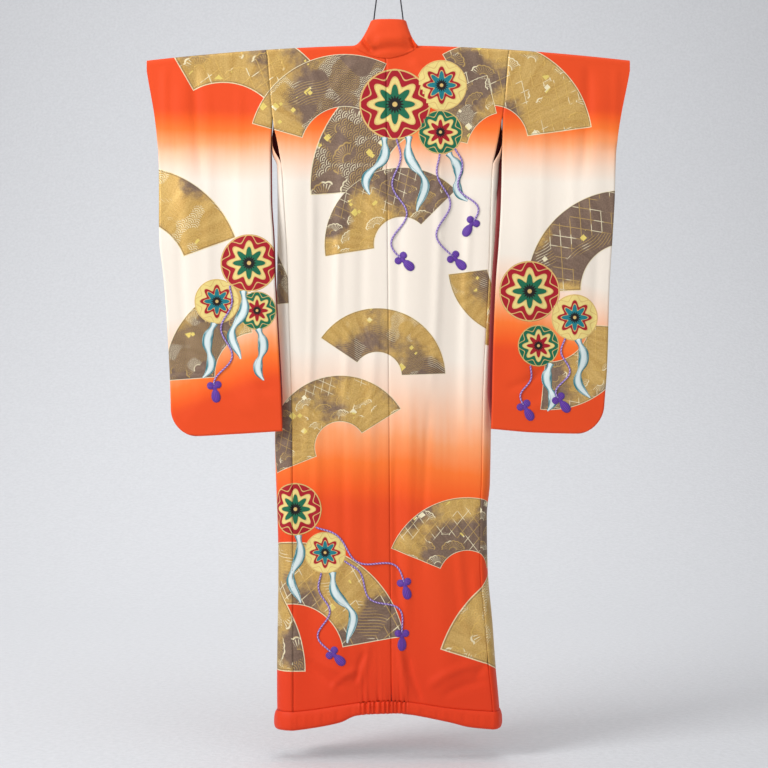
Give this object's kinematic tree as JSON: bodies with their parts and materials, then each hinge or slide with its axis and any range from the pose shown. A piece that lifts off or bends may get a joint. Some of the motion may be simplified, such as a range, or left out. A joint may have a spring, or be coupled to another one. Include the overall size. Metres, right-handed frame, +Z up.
{
  "type": "kimono on hanger",
  "caption": "Long-sleeved formal kimono hanging on a curved rod from a cord loop, with open cuffs, neck and hem and a padded hem roll.",
  "frame": {"origin": "top of the cord loop, where a hook or nail carries the hanger and the kimono", "axes": "+Z up; the back of the kimono faces -Y and its fronts face +Y; the wearer's right is +X"},
  "size_m": [1.211, 0.138, 2.0151],
  "materials": {
    "body_left": "dyed silk crepe, orange to cream",
    "body_right": "dyed silk crepe, orange to cream",
    "sleeve_left": "dyed silk crepe, orange to cream",
    "sleeve_right": "dyed silk crepe, orange to cream",
    "overlap_left": "dyed silk crepe, orange to cream",
    "overlap_right": "dyed silk crepe, orange to cream",
    "collar": "orange silk crepe",
    "hem_left": "padded orange-red silk",
    "hem_right": "padded orange-red silk",
    "hanger_rod": "plain varnished wood",
    "hanging_cord": "thin black cord",
    "cord_tie_left": "thin black cord",
    "cord_tie_right": "thin black cord"
  },
  "bodies": {
    "root": {"body_left": "body_left", "body_right": "body_right", "sleeve_left": "sleeve_left", "sleeve_right": "sleeve_right", "overlap_left": "overlap_left", "overlap_right": "overlap_right", "collar": "collar", "hem_left": "hem_left", "hem_right": "hem_right", "hanger_rod": "hanger_rod", "hanging_cord": "hanging_cord", "cord_tie_left": "cord_tie_left", "cord_tie_right": "cord_tie_right"}
  },
  "joints": []
}
